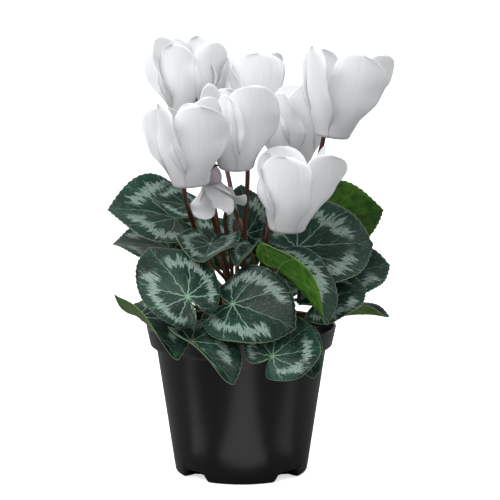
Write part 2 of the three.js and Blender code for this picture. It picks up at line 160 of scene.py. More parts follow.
def pot_profile():
    """The wall from the foot's middle out, up, over the rim and down inside to the floor,
    as (radius, height), with a row of points close to each bend."""
    foot_inside = FOOT_RADIUS - POT_WALL
    neck_inside = NECK_RADIUS - POT_WALL
    rim_foot = POT_HEIGHT - RIM_DEPTH
    outside = [
        (0, 0), (20, 0), (29, 0), (31, 0), (32.5, 0), (36, 0), (39.4, 0), (40.6, 0.25), (41.4, 0.8),
        (41.9, 1.7), (42.05, 2.8), (42.6, 6), (43.5, 12), (45, 22), (47.5, 39), (50, 55.5),
        (52.5, 72.5), (NECK_RADIUS - 0.3, 80), (NECK_RADIUS - 0.05, rim_foot - 0.3),
        (NECK_RADIUS + 0.3, rim_foot), (RIM_FOOT_RADIUS - 0.9, rim_foot),
        (RIM_FOOT_RADIUS - 0.3, rim_foot + 0.2), (RIM_FOOT_RADIUS + 0.05, rim_foot + 0.8),
        (57.8, 83.4), (58.8, 88), (RIM_RADIUS - 0.2, 92.6), (RIM_RADIUS - 0.05, 93.4),
        (RIM_RADIUS - 0.3, 93.85), (RIM_RADIUS - 0.7, POT_HEIGHT),
    ]
    inside = [
        (58.9, 93.85), (58.65, 93.3), (57.4, 87.8), (56.3, 82.9), (55.9, 82.6), (neck_inside + 0.4, 82.3),
        (neck_inside, 81.6), (49.5, 60), (45.5, 33), (foot_inside + 0.9, 9), (foot_inside, 3.2),
        (foot_inside - 1, 1.8), (33.5, POT_WALL + 0.1), (29.5, POT_WALL + 0.1), (0, POT_WALL + 0.1),
    ]
    return np.array(outside + inside, dtype=float)


def arched(points):
    """Lifts what is near the floor over four radial arches: the lift is the arch's height
    where the point is within the arch's width and beyond its start, eased at its edges,
    and fades to none further up the wall."""
    x, y, z = points.T
    lift = np.zeros_like(z)
    for quarter in np.radians([45, 135, 225, 315]):
        out = x * np.cos(quarter) + y * np.sin(quarter)
        aside = np.abs(y * np.cos(quarter) - x * np.sin(quarter))
        across = rise(ARCH_HALF_WIDTH, ARCH_HALF_WIDTH - ARCH_SIDE_EASE, aside)
        beyond = rise(ARCH_START - ARCH_START_EASE, ARCH_START, out)
        lift = np.maximum(lift, ARCH_HEIGHT * across * beyond)
    return np.stack([x, y, z + lift * np.clip(1 - z / ARCH_FADE, 0, 1)], axis=-1)


# Polypropylene off a polished mould: black through, satin, with broad soft reflections.
# Its patterns run over the piece's box, 120 mm wide: a 0.1 mm grain and 2 mm dull patches.
polypropylene, tree = new_material("polypropylene_black_moulded")
grain = add(tree, "ShaderNodeTexNoise", None, {"Scale": 1400.0, "Detail": 3.0})
wear = add(tree, "ShaderNodeTexNoise", None, {"Scale": 60.0, "Detail": 4.0})
uneven = add(tree, "ShaderNodeMapRange", None, {"Value": wear, "To Min": 0.24, "To Max": 0.34})
skin = add(tree, "ShaderNodeBump", None, {"Strength": 0.12, "Distance": 0.0001, "Height": grain})
principled(tree, {
    "Base Color": linear("#0a0a0b"), "Roughness": uneven, "Normal": skin, "IOR": 1.49,
    "Specular IOR Level": 0.35,
})

pot_points, pot_faces = revolved(pot_profile(), pot_columns)
pot = new_piece("nursery_pot", arched(pot_points), pot_faces, [polypropylene])
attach(pot, "root")
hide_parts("pot")

# ---- corm ----
# The plant's tuber: flat-crowned and corky, half sunk in the soil. All leaves and
# flowers grow from its crown.
CORM_RADIUS, CORM_TOP, CORM_BOTTOM = 22, 91, 68
CORM_FURROW, CORM_COLUMNS = 0.03, 64

# Cork: matt and brown, with fine flakes and cracks, 0.2 mm over a box 44 mm wide.
cork, tree = new_material("tuber_cork")
flakes = add(tree, "ShaderNodeTexNoise", None, {"Scale": 260.0, "Detail": 6.0})
brown = add(tree, "ShaderNodeValToRGB", None, {"Fac": flakes})
brown.color_ramp.elements[0].color = linear("#2e1f16")
brown.color_ramp.elements[1].color = linear("#7a5b42")
cracks = add(tree, "ShaderNodeBump", None, {"Strength": 0.6, "Distance": 0.0008, "Height": flakes})
principled(tree, {"Base Color": brown, "Roughness": 0.9, "Normal": cracks})

corm_profile = np.array([
    (0, CORM_BOTTOM), (8, CORM_BOTTOM + 0.4), (13, CORM_BOTTOM + 1.8), (18, CORM_BOTTOM + 4.2),
    (20.8, CORM_BOTTOM + 7), (21.8, CORM_BOTTOM + 10), (CORM_RADIUS, CORM_BOTTOM + 13), (21.9, 84.5),
    (21.2, 87), (20, 89.4), (18.5, 90.7), (16, CORM_TOP), (9, CORM_TOP), (0, CORM_TOP),
])
corm_points, corm_faces = revolved(corm_profile, CORM_COLUMNS)
turn = np.arctan2(corm_points[:, 1], corm_points[:, 0])
furrows = 1 + np.sin(5 * turn + 0.25 * corm_points[:, 2])
corm_points[:, :2] *= (1 - CORM_FURROW * furrows * (corm_points[:, 2] < CORM_TOP - 1))[:, None]
corm = new_piece("tuber", corm_points, corm_faces, [cork])
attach(corm, "root")
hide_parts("corm")

# ---- soil ----
# Dark peat compost that fills the pot to below the rim, crumbly on top, mounded
# towards the corm.
SOIL_LEVEL, SOIL_MOUND, SOIL_CLEARANCE = 81, 2.2, 0.3

# Compost: dull, dark brown and finely specked, 0.25 mm over a box 104 mm wide. The crumbs
# that show are in the shape.
peat, tree = new_material("peat_compost")
crumbs = add(tree, "ShaderNodeTexVoronoi", None, {"Scale": 420.0, "Randomness": 1.0})
fibre = add(tree, "ShaderNodeTexNoise", None, {"Scale": 700.0, "Detail": 8.0})
dark = add(tree, "ShaderNodeValToRGB", None, {"Fac": fibre})
dark.color_ramp.elements[0].position = 0.35
dark.color_ramp.elements[0].color = linear("#140d09")
dark.color_ramp.elements[1].position = 0.75
dark.color_ramp.elements[1].color = linear("#4a3626")
clods = add(tree, "ShaderNodeBump", None, {"Strength": 0.9, "Distance": 0.0015, "Height": crumbs})
principled(tree, {"Base Color": dark, "Roughness": 0.95, "Normal": clods})

soil_inner = CORM_RADIUS + SOIL_CLEARANCE
soil_columns, soil_rows = 160, 34
side = np.array([(soil_inner, 70), (36, 8.5), (39.6, 9), (44.6, 33), (48.8, 60), (51.7, 80)])
inwards = np.linspace(52.2, soil_inner + 0.2, soil_rows)
across_top = np.stack([inwards, np.full(soil_rows, float(SOIL_LEVEL))], axis=-1)
soil_profile = np.vstack([side, across_top])
turn = np.linspace(0, 2 * np.pi, soil_columns, endpoint=False)
radius, height = (column[:, None] for column in soil_profile.T)
x, y = radius * np.cos(turn), radius * np.sin(turn)
# The crumbs' heights are three crossed waves, from long and high to short and low.
lumps = (0.8 * np.sin(x * 0.43 + 1) * np.cos(y * 0.37)
         + 0.5 * np.sin(x * 1.3 + y * 0.9) * np.cos(y * 1.7 - x * 0.6)
         + 0.3 * np.sin(x * 3.1 - y * 2.3) * np.sin(y * 3.7 + x))
mound = SOIL_MOUND * np.clip(1 - radius / NECK_RADIUS, 0, 1)
z = height + (mound + lumps) * (height > SOIL_LEVEL - 0.5)
soil_points = np.stack([x, y, z], axis=-1).reshape(-1, 3)
soil_faces = list(band(len(soil_profile), soil_columns))
last = (len(soil_profile) - 1) * soil_columns
ring = np.arange(soil_columns)
after = np.roll(ring, -1)
soil_faces += list(np.stack([last + ring, last + after, after, ring], axis=-1))
soil = new_piece("compost", soil_points, soil_faces, [peat])
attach(soil, "root")
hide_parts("soil")

# ---- leaves ----
# Thick heart-shaped blades with finely toothed edges and a feathered silver band, each
# on a fleshy round stalk that grows from the corm's crown.
LEAF_RINGS, LEAF_SPOKES, LEAF_TEETH = 15, 240, 60
LEAF_THICKNESS, LEAF_EDGE = 0.6, 0.3
VEIN_SPACING = np.radians(42)
VEIN_BEND = 0.4
PLAIN_CURL, PLAIN_FOLD, PLAIN_WAVE = 30, 10, 1.6
MIDRIB_WIDTH = 4
PETIOLE_RADIUS, PETIOLE_STEPS, PETIOLE_COLUMNS = 1.25, 40, 12
COLLAR_HEIGHT = 5
# Leaves whose undersides get the brighter green: young ones, and ones where light shining through the
# blade from behind is painted into the colour.
YOUNG_AND_BACKLIT_LEAVES = ("leaf_right_back", "leaf_front_tip", "leaf_fold_right", "leaf_young")
CROWN = CORM_TOP + 0.3

# Each leaf's joint with its stalk and its tip are in millimetres. roll turns the blade
# about its midrib, foldLeft and foldRight lift its halves and curl bends it along, all in
# degrees. broad is its width against a plain heart's and wave the height of its edge's
# ripple. The stalk starts on the crown at foot, a distance from the middle and a bearing,
# and passes through via before the joint.
leaves = [
    # front
    dict(name="leaf_front", joint=(-5, -51, 116), tip=(33, -68, 104),
         roll=46, broad=0.98, foot=(11.5, -98)),
    dict(name="leaf_front_left", joint=(-32, -60, 122), tip=(-57, -26, 147),
         roll=-42, broad=0.72, foldRight=-22, foot=(16, -118)),
    dict(name="leaf_front_right_low", joint=(19, -72, 88), tip=(43, -51, 103),
         roll=38, via=(16, -58, 96.8), foot=(17, -72)),
    dict(name="leaf_front_left_low", joint=(-30, -61, 95), tip=(-4, -79, 72),
         roll=20, broad=0.85, foldLeft=20, foldRight=50, via=(-26, -51, 99), foot=(17, -106)),
    dict(name="leaf_front_tip", joint=(35, -50, 97), tip=(44, -67, 73),
         roll=5, broad=0.6, via=(30, -43, 97), foot=(17, -50)),
    dict(name="leaf_fold_right", joint=(23, -46, 136), tip=(52, -62, 105),
         roll=8, broad=0.95, foldLeft=20, foldRight=62, foot=(11.5, -58)),
    dict(name="leaf_young", joint=(5, -31, 147), tip=(-3, -45, 138),
         roll=0, broad=0.85, foldLeft=45, foldRight=45, wave=0.8, foot=(11.5, -78)),
    # middle
    dict(name="leaf_centre", joint=(-19, -25, 149), tip=(-23, -52, 142),
         roll=0, broad=1.2, foldLeft=28, foldRight=28, curl=-10, foot=(6, -128)),
    dict(name="leaf_centre_left", joint=(-34, 0, 169), tip=(-56, -5, 173),
         roll=-35, via=(-29, 1, 156), foot=(6, 178)),
    dict(name="leaf_centre_back", joint=(3, 12, 150), tip=(0, 23, 180),
         roll=0, broad=0.75, foldLeft=20, foldRight=20, foot=(6, 75)),
    # left
    dict(name="leaf_left", joint=(-42, 9, 160), tip=(-84, 1, 167),
         roll=-34, broad=1.1, via=(-36, 14, 148), foot=(11.5, 180)),
    dict(name="leaf_left_back", joint=(-46, 18, 138), tip=(-82, 14, 143), roll=-20, foot=(12, 150)),
    dict(name="leaf_left_low", joint=(-63, -34, 105), tip=(-38, -65, 84),
         roll=12, broad=0.9, foldLeft=15, foldRight=60, via=(-56, -26, 101), foot=(17, -150)),
    dict(name="leaf_left_back_low", joint=(-46, 26, 103), tip=(-68, 50, 90),
         roll=0, broad=0.85, foot=(17, 140)),
    # right
    dict(name="leaf_right", joint=(35, -16, 145), tip=(83, -3, 145),
         roll=48, broad=1, foot=(11.5, -25)),
    dict(name="leaf_right_back", joint=(52, 33, 152), tip=(91, 30, 163),
         roll=-65, broad=1, foot=(11.5, 45)),
    dict(name="leaf_right_tip", joint=(57, -2, 122), tip=(94, 3, 131),
         roll=36, broad=1, foot=(12, 10)),
    dict(name="leaf_right_mid", joint=(47, -29, 113), tip=(78, -21, 120),
         roll=38, broad=0.95, foot=(16, -28)),
    dict(name="leaf_right_low", joint=(59, -15, 101), tip=(93, -11, 101),
         roll=16, broad=0.75, foldRight=50, via=(49, -14, 99), foot=(17, -10)),
    dict(name="leaf_right_back_low", joint=(50, 16, 103), tip=(78, 29, 95), roll=0, foot=(17, 25)),
    # back
    dict(name="leaf_back_left", joint=(-36, 46, 119), tip=(-58, 76, 114), roll=0, foot=(16, 118)),
    dict(name="leaf_back_left_high", joint=(-20, 38, 133), tip=(-37, 59, 158), roll=0, foot=(11.5, 120)),
    dict(name="leaf_back_low", joint=(-3, 58, 101), tip=(-5, 88, 79), roll=0, broad=0.85, foot=(17, 92)),
    dict(name="leaf_back_high", joint=(14, 32, 136), tip=(18, 52, 168), roll=0, foot=(11.5, 85)),
    dict(name="leaf_back_right", joint=(29, 44, 113), tip=(42, 62, 134), roll=0, foot=(16, 62)),
]


def crown_point(foot):
    """The place on the crown at a distance from its middle and an angle from +X."""
    distance, angle = foot
    turn = np.radians(angle)
    return np.array([distance * np.cos(turn), distance * np.sin(turn), CROWN])


def unit(vector):
    """The vector at length one."""
    return vector / np.linalg.norm(vector, axis=-1, keepdims=True)


def leaf_outline(angle):
    """The heart: a shallow cosine with a small point at the tip, times a narrow notch at
    the joint."""
    turn = np.abs(angle)
    heart = 0.62 + 0.24 * np.cos(turn) + 0.14 * np.exp(-turn / 0.3)
    return heart * (1 - 0.86 * np.exp(-((np.pi - turn) / 0.3) ** 2))


def leaf_axes(leaf):
    """The blade's length and its directions: along the midrib, to its left, and up."""
    span = np.subtract(leaf["tip"], leaf["joint"]).astype(float)
    along = unit(span)
    level = unit(np.array([-along[1], along[0], 0.0]))
    roll = np.radians(leaf["roll"])
    left = level * np.cos(roll) + np.cross(along, level) * np.sin(roll)
    return np.linalg.norm(span), along, left, np.cross(along, left)


def vein_places(s, t, length):
    """How far the veins' fan has turned at a flat place: the angle from the midrib plus a
    share that grows outwards, so that each side vein bends towards the tip."""
    turn = np.arctan2(np.abs(t), s)
    return (turn + VEIN_BEND * np.hypot(s, t) / length * np.sin(turn)) / VEIN_SPACING


def blade_surface(leaf, ring, angle):
    """The middle of the blade: the outline shrunk by ring, each half folded up along the
    midrib, the edge rippled, the veins sunk and the panels between them raised, and the
    whole bent along the midrib as an arc whose chord runs from joint to tip."""
    length, along, left, up = leaf_axes(leaf)
    curl = np.radians(leaf.get("curl", PLAIN_CURL))
    teeth = 0.008 * rise(0.88, 1, ring) * np.sin(LEAF_TEETH * angle)
    reach = ring * (1 + teeth) * leaf_outline(angle) * length / (np.sin(curl / 2) / (curl / 2))
    s, t = reach * np.cos(angle), reach * np.sin(angle) * leaf.get("broad", 1)
    left_fold, right_fold = leaf.get("foldLeft", PLAIN_FOLD), leaf.get("foldRight", PLAIN_FOLD)
    fold = np.radians(np.where(t > 0, left_fold, right_fold))
    lift = np.sin(fold) * (np.hypot(t, MIDRIB_WIDTH) - MIDRIB_WIDTH)
    ripple = leaf.get("wave", PLAIN_WAVE) * ring ** 3 * np.sin(5 * angle)
    fan_turn = vein_places(s, t, length)
    off_vein = np.abs(fan_turn - np.round(fan_turn))
    panels = 0.5 * (off_vein ** 0.7 - 0.3) * rise(0, 0.35, ring) * rise(1.0, 0.8, ring)
    height = lift + ripple + panels
    bend = curl / length
    turn = bend * s - curl / 2
    x = (np.sin(turn) + np.sin(curl / 2)) / bend + height * np.sin(turn)
    z = (np.cos(turn) - np.cos(curl / 2)) / bend + height * np.cos(turn)
    across = t * np.cos(fold)
    points = leaf["joint"] + x[..., None] * along + across[..., None] * left + z[..., None] * up
    return points, np.stack([s / length, t / length, ring + 0 * s], axis=-1)


def two_sided(middle, centre, thickness):
    """Upper and lower sheets at half the thickness each side of a polar grid, with the
    normals worked out from the grid's own steps."""
    outward = np.gradient(middle, axis=0)
    around = np.roll(middle, -1, axis=1) - np.roll(middle, 1, axis=1)
    normal = unit(np.cross(outward, around))
    pole = unit(normal[0].mean(axis=0))
    half = thickness[..., None] / 2
    upper, lower = middle + normal * half, middle - normal * half
    rows, columns = middle.shape[:2]
    top_pole = centre + pole * thickness[0, 0] / 2
    low_pole = centre - pole * thickness[0, 0] / 2
    points = np.vstack([upper.reshape(-1, 3), lower.reshape(-1, 3), [top_pole], [low_pole]])
    count = rows * columns
    ring = np.arange(columns)
    top = [*band(rows, columns)[:, ::-1], *fan(2 * count, ring, False)]
    under = [*band(rows, columns, count), *fan(2 * count + 1, ring + count, True)]
    upper_rim = (rows - 1) * columns + ring
    after = np.roll(upper_rim, -1)
    rim = list(np.stack([upper_rim, upper_rim + count, after + count, after], axis=-1))
    return points, top, under, rim


def stem_tube(path, radius, side, columns, start):
    """A round tube: circles across the path's direction, the first and last closed by a
    fan. side is a level direction that the path never runs along."""
    ahead = unit(np.gradient(path, axis=0))
    across = unit(np.cross(ahead, side))
    over = np.cross(across, ahead)
    turn = np.linspace(0, 2 * np.pi, columns, endpoint=False)
    spokes = np.cos(turn)[:, None] * across[:, None] + np.sin(turn)[:, None] * over[:, None]
    circles = path[:, None] + radius[:, None, None] * spokes
    rows = len(path)
    points = np.vstack([circles.reshape(-1, 3), path[:1], path[-1:]])
    low = start + np.arange(columns)
    high = low + (rows - 1) * columns
    ends = start + rows * columns
    faces = [*band(rows, columns, start)[:, ::-1], *fan(ends, low, False), *fan(ends + 1, high, True)]
    return points, faces


def petiole_path(leaf):
    """From the crown up past a collar, out towards the blade and into its joint."""
    up = leaf_axes(leaf)[3]
    joint = np.array(leaf["joint"], dtype=float)
    foot = crown_point(leaf["foot"])
    below = np.array(leaf["via"], dtype=float) if "via" in leaf else joint - 12 * up
    climb = max(0.3 * (joint[2] - foot[2]), 10)
    risen = foot + 0.25 * (below - foot) + [0, 0, climb]
    return rounded([foot, foot + [0, 0, COLLAR_HEIGHT], risen, below, joint], PETIOLE_STEPS)


def scaled(tree, value, factor, offset=0.0):
    """value times factor plus offset."""
    terms = {0: value, 1: factor, 2: offset}
    return add(tree, "ShaderNodeMath", {"operation": "MULTIPLY_ADD"}, terms).outputs[0]


def work(tree, operation, a, b=0.0):
    """One step of arithmetic."""
    return add(tree, "ShaderNodeMath", {"operation": operation}, {0: a, 1: b}).outputs[0]


def vector_work(tree, operation, *terms):
    """One step of arithmetic on vectors."""
    return add(tree, "ShaderNodeVectorMath", {"operation": operation}, dict(enumerate(terms)))


def piece_place(tree):
    """The place that each point of a piece keeps: for a blade, how far along and across it
    is by the blade's length, and its ring; for a petal, its share, across and number."""
    return add(tree, "ShaderNodeAttribute", {"attribute_name": "place"}).outputs["Vector"]


def blended(tree, low, high, share):
    """One colour turning into another as share goes from 0 to 1."""
    mix = add(tree, "ShaderNodeMix", {"data_type": "RGBA"}, {"Factor": share, "A": low, "B": high})
    return mix.outputs["Result"]


def soft_step(tree, value, low, high):
    """0 where value is at low, 1 where it is at high."""
    step = add(tree, "ShaderNodeMapRange", {"interpolation_type": "SMOOTHSTEP"},
               {"Value": value, "From Min": low, "From Max": high})
    return step.outputs[0]


def leaf_veins(tree, s, t):
    """How near a place is to a vein, from 0 to 1, for the fan of main veins and for the
    short spurs that branch off them towards the edge; and its angle from the midrib."""
    aside = work(tree, "ABSOLUTE", t)
    angle = work(tree, "ARCTAN2", aside, s)
    squares = work(tree, "ADD", work(tree, "MULTIPLY", s, s), work(tree, "MULTIPLY", t, t))
    out = work(tree, "SQRT", squares)
    bend = scaled(tree, work(tree, "MULTIPLY", out, work(tree, "SINE", angle)), VEIN_BEND)
    fan_turn = scaled(tree, work(tree, "ADD", angle, bend), 1 / VEIN_SPACING)
    off = work(tree, "ABSOLUTE", work(tree, "SUBTRACT", fan_turn, work(tree, "ROUND", fan_turn)))
    distance = scaled(tree, work(tree, "MULTIPLY", out, off), VEIN_SPACING)
    vein_width = scaled(tree, out, -0.010, 0.014)
    main = soft_step(tree, work(tree, "DIVIDE", distance, vein_width), 1.0, 0.3)
    spur_place = work(tree, "SUBTRACT", scaled(tree, out, 5.0), scaled(tree, distance, 9.0))
    past_spur = work(tree, "SUBTRACT", spur_place, work(tree, "ROUND", spur_place))
    on_spur = soft_step(tree, work(tree, "ABSOLUTE", past_spur), 0.05, 0.015)
    spur = work(tree, "MULTIPLY", on_spur, soft_step(tree, distance, 0.12, 0.02))
    return main, spur, angle


# Leaf cuticle: waxy and satin, blue-green, with a silver band where air lies under the
# skin. The band's edges are feathered along the radius and it is broken here and there.
# Light and dark drift 24 mm apart and flecks lie 1 mm apart; the rest goes by the blade's
# own length.
silvered_leaf, tree = new_material("leaf_cuticle_silvered")
place = piece_place(tree)
warp = add(tree, "ShaderNodeTexNoise", None, {"Vector": place, "Scale": 7.0, "Detail": 3.0})
shift = vector_work(tree, "MULTIPLY_ADD", warp.outputs["Color"], (0.07, 0.07, 0.0), place)
flat = add(tree, "ShaderNodeSeparateXYZ", None, {0: shift})
s, t, ring = (flat.outputs[k] for k in range(3))
main, spur, angle = leaf_veins(tree, scaled(tree, s, 1.0, -0.035), scaled(tree, t, 1.0, -0.035))
heading = vector_work(tree, "NORMALIZE", vector_work(tree, "MULTIPLY", place, (1.0, 1.0, 0.0)))
upright = add(tree, "ShaderNodeCombineXYZ", None, {"Z": scaled(tree, ring, 2.6)})
radial = vector_work(tree, "MULTIPLY_ADD", heading, (19.0, 19.0, 0.0), upright)
barbs = add(tree, "ShaderNodeTexNoise", None, {
    "Vector": radial, "Scale": 1.0, "Detail": 4.0, "Roughness": 0.6,
})
on_piece = add(tree, "ShaderNodeTexCoord").outputs["Object"]
drift = add(tree, "ShaderNodeTexNoise", None, {"Vector": on_piece, "Scale": 42.0, "Detail": 2.0})
flecks = add(tree, "ShaderNodeTexNoise", None, {"Vector": on_piece, "Scale": 900.0, "Detail": 3.0})
feather = scaled(tree, barbs, 0.62, -0.31)
wander = scaled(tree, drift, 0.5, -0.25)
frayed = work(tree, "ADD", ring, work(tree, "ADD", feather, wander))
silver = work(tree, "MULTIPLY", soft_step(tree, frayed, 0.60, 0.63), soft_step(tree, frayed, 0.82, 0.78))
strayed = work(tree, "ADD", angle, scaled(tree, drift, 1.2, -0.6))
sides = work(tree, "MULTIPLY", soft_step(tree, strayed, 0.10, 0.30), soft_step(tree, strayed, 2.5, 2.2))
patchy = work(tree, "MULTIPLY", sides, soft_step(tree, drift, 0.30, 0.40))
broken = work(tree, "MULTIPLY", silver, patchy)
dusted = work(tree, "MULTIPLY", broken, soft_step(tree, flecks, 0.2, 0.55))
green = blended(tree, linear("#0b2018"), linear("#17382b"), soft_step(tree, drift, 0.3, 0.7))
dots = scaled(tree, soft_step(tree, flecks, 0.56, 0.72), 0.5)
speckled = blended(tree, green, linear("#4f7a68"), dots)
banded = blended(tree, speckled, linear("#8a9f94"), scaled(tree, dusted, 0.85))
spurred = blended(tree, banded, linear("#6f9683"), scaled(tree, spur, 0.55))
strength = scaled(tree, ring, -0.35, 0.8)
veined = blended(tree, spurred, linear("#8fb398"), work(tree, "MULTIPLY", main, strength))
rim_share = scaled(tree, soft_step(tree, ring, 0.985, 1.0), 0.5)
rimmed = blended(tree, veined, linear("#a9bd8e"), rim_share)
sunk = work(tree, "ADD", main, scaled(tree, spur, 0.6))
depth = work(tree, "SUBTRACT", scaled(tree, flecks, 0.35), sunk)
relief = add(tree, "ShaderNodeBump", None, {"Strength": 0.6, "Distance": 0.0006, "Height": depth})
principled(tree, {
    "Base Color": rimmed, "Roughness": 0.42, "Normal": relief, "IOR": 1.45,
    "Specular IOR Level": 0.22,
})

# Leaf underside: no silver, matt, with raised veins; olive on most leaves, and a fresher,
# brighter green on the young leaves and on those lit from behind, where the brighter green is
# painted light shining through the blade. Blotches are an eighth of the blade's length.
UNDERSIDE_COLOURS = {
    "old": ("#38551c", "#58772b", "#86a05c"),
    "young": ("#2b5210", "#4a7d1c", "#79a044"),
}
undersides = {}
for underside_kind, (shade, light, rib) in UNDERSIDE_COLOURS.items():
    undersides[underside_kind], tree = new_material("leaf_underside_" + underside_kind)
    place = piece_place(tree)
    flat = add(tree, "ShaderNodeSeparateXYZ", None, {0: place})
    main, spur, angle = leaf_veins(tree, flat.outputs[0], flat.outputs[1])
    blotch = add(tree, "ShaderNodeTexNoise", None, {"Vector": place, "Scale": 8.0, "Detail": 4.0})
    green = blended(tree, linear(shade), linear(light), soft_step(tree, blotch, 0.3, 0.7))
    ribs = work(tree, "MAXIMUM", main, scaled(tree, spur, 0.5))
    ribbed = blended(tree, green, linear(rib), scaled(tree, ribs, 0.6))
    raised = add(tree, "ShaderNodeBump", None, {"Strength": 0.6, "Distance": 0.0006, "Height": ribs})
    principled(tree, {
        "Base Color": ribbed, "Roughness": 0.6, "Normal": raised, "IOR": 1.45,
    })

# Leaf stalk: fleshy and smooth, red-brown with green showing through in streaks of about
# 1 mm.
petiole_skin, tree = new_material("leaf_stalk_skin")
streaks = add(tree, "ShaderNodeTexNoise", None, {"Scale": 90.0, "Detail": 3.0})
flesh = blended(tree, linear("#5a3a26"), linear("#56602f"), soft_step(tree, streaks, 0.35, 0.65))
principled(tree, {"Base Color": flesh, "Roughness": 0.5})

angle = np.linspace(-np.pi, np.pi, LEAF_SPOKES, endpoint=False)
ring = np.linspace(1 / LEAF_RINGS, 1, LEAF_RINGS) ** 0.9
rings, angles = np.meshgrid(ring, angle, indexing="ij")
blade_thickness = LEAF_EDGE + (LEAF_THICKNESS - LEAF_EDGE) * (1 - rings ** 4)
for leaf in leaves:
    middle, place = blade_surface(leaf, rings, angles)
    joint = np.array(leaf["joint"], dtype=float)
    points, top, under, rim = two_sided(middle, joint, blade_thickness)
    path = petiole_path(leaf)
    side = unit(np.cross([0, 0, 1], path[-1] - path[0]))
    narrowing = np.interp(np.linspace(0, 1, PETIOLE_STEPS), [0, 0.1, 0.9, 1], [1, 0.95, 0.85, 0.5])
    stem, stem_faces = stem_tube(path, PETIOLE_RADIUS * narrowing, side, PETIOLE_COLUMNS, len(points))
    sheet = place.reshape(-1, 3)
    places = np.vstack([sheet, sheet, np.zeros((2 + len(stem), 3))])
    underside_kind = "young" if leaf["name"] in YOUNG_AND_BACKLIT_LEAVES else "old"
    kinds = [0] * (len(top) + len(rim)) + [1] * len(under) + [2] * len(stem_faces)
    piece = new_piece(
        leaf["name"].replace("leaf", "blade"), np.vstack([points, stem]),
        top + rim + under + stem_faces, [silvered_leaf, undersides[underside_kind], petiole_skin], kinds,
        {"place": places},
    )
    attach(piece, "root")
    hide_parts(leaf["name"])

# ---- blooms ----
# Nodding flowers: five waxy white petals grow from the mouth of a small cup, fold back
# over its edge and stand up round it. The cup hangs by its top from the stalk.
PETAL_THICKNESS = 0.45
MOUTH_RADIUS, MOUTH_ROLL, CUP_HEIGHT = 5.6, 2.8, 11
CLAW_HALF_WIDTH, NECK_HALF_WIDTH, TIP_HALF_WIDTH = 3.2, 6.4, 2.2
PETAL_COUNT, PETAL_SPACING = 5, 66
PETAL_LENGTHS, PETAL_HALF_WIDTHS = (46, 50, 50, 50, 46), (15, 18, 17, 18, 15)
PETAL_BELLY, PETAL_SHOULDER, PETAL_HOLLOW = 0.48, 0.55, 0.006
FLARE, BOW, REFLEX = 24, -14, 180
TWIST = np.radians(34)

# Each bloom's mouth is the middle of its cup's open end, in millimetres. Its axis leans by
# lean degrees towards the bearing toward, and its stalk comes up on the bearing stem, from
# foot on the crown and through via. lengths and widths are the petals' lengths and half
# widths. A petal stands at flare degrees from the axis, plus its own number in pressed,
# bends by bow along its length and is folded back by reflex degrees.
blooms = [
    dict(name="bloom_front", mouth=(-3, -26, 199), lean=8, toward=-90, stem=60, foot=(5.5, -90),
         lengths=(44, 50, 46, 54, 44), widths=(14, 13, 14, 16, 14), pressed=(0, -10, -16, -6, -12)),
    dict(name="bloom_left", mouth=(-30, -57, 192), lean=5, toward=190, stem=110,
         foot=(11.5, -155), via=(-29, -12, 157), pressed=(-8, -8, 0, -14, -20)),
    dict(name="bloom_right_low", mouth=(28, -50, 164), lean=6, toward=-60, stem=150,
         foot=(6, -45), via=(14, -17, 140), pressed=(-8, 0, 0, 0, -6)),
    dict(name="bloom_right_high", mouth=(56, -24, 218), lean=8, toward=0, stem=110,
         foot=(6, -5), via=(42, 7, 180), lengths=(50, 54, 54, 54, 50), pressed=(-12, 0, 0, 0, -6)),
    dict(name="bloom_back_left", mouth=(-34, 30, 224), lean=4, toward=120, stem=-60, foot=(6, 145),
         pressed=(-8, -12, -4, -12, -6)),
    dict(name="bloom_right_mid", mouth=(32, 12, 195), lean=4, toward=90, stem=200,
         foot=(6, 35), via=(20, 5, 155), pressed=(-6, -8, -6, -12, -6)),
    dict(name="bloom_back", mouth=(2, 50, 213), lean=4, toward=60, stem=180,
         foot=(6, 112), via=(-4, 30, 158), pressed=(-8, -6, -10, 0, -6)),
    dict(name="bloom_young", mouth=(-18, -32, 188), lean=10, toward=200, stem=110,
         foot=(1, 180), via=(-13, -8, 146),
         lengths=(18, 20, 20, 20, 18), widths=(6, 8, 7, 8, 6),
         flare=0, bow=-30, pressed=(20, 20, 0, 0, 0), reflex=25),
]


def bloom_turn(bloom):
    """The rotation that leans the flower's axis, as a matrix."""
    toward, lean = np.radians(bloom["toward"]), np.radians(bloom["lean"])
    x, y = -np.sin(toward), np.cos(toward)
    skew = np.array([[0, 0, y], [0, 0, -x], [-y, x, 0]])
    return np.eye(3) + np.sin(lean) * skew + (1 - np.cos(lean)) * skew @ skew


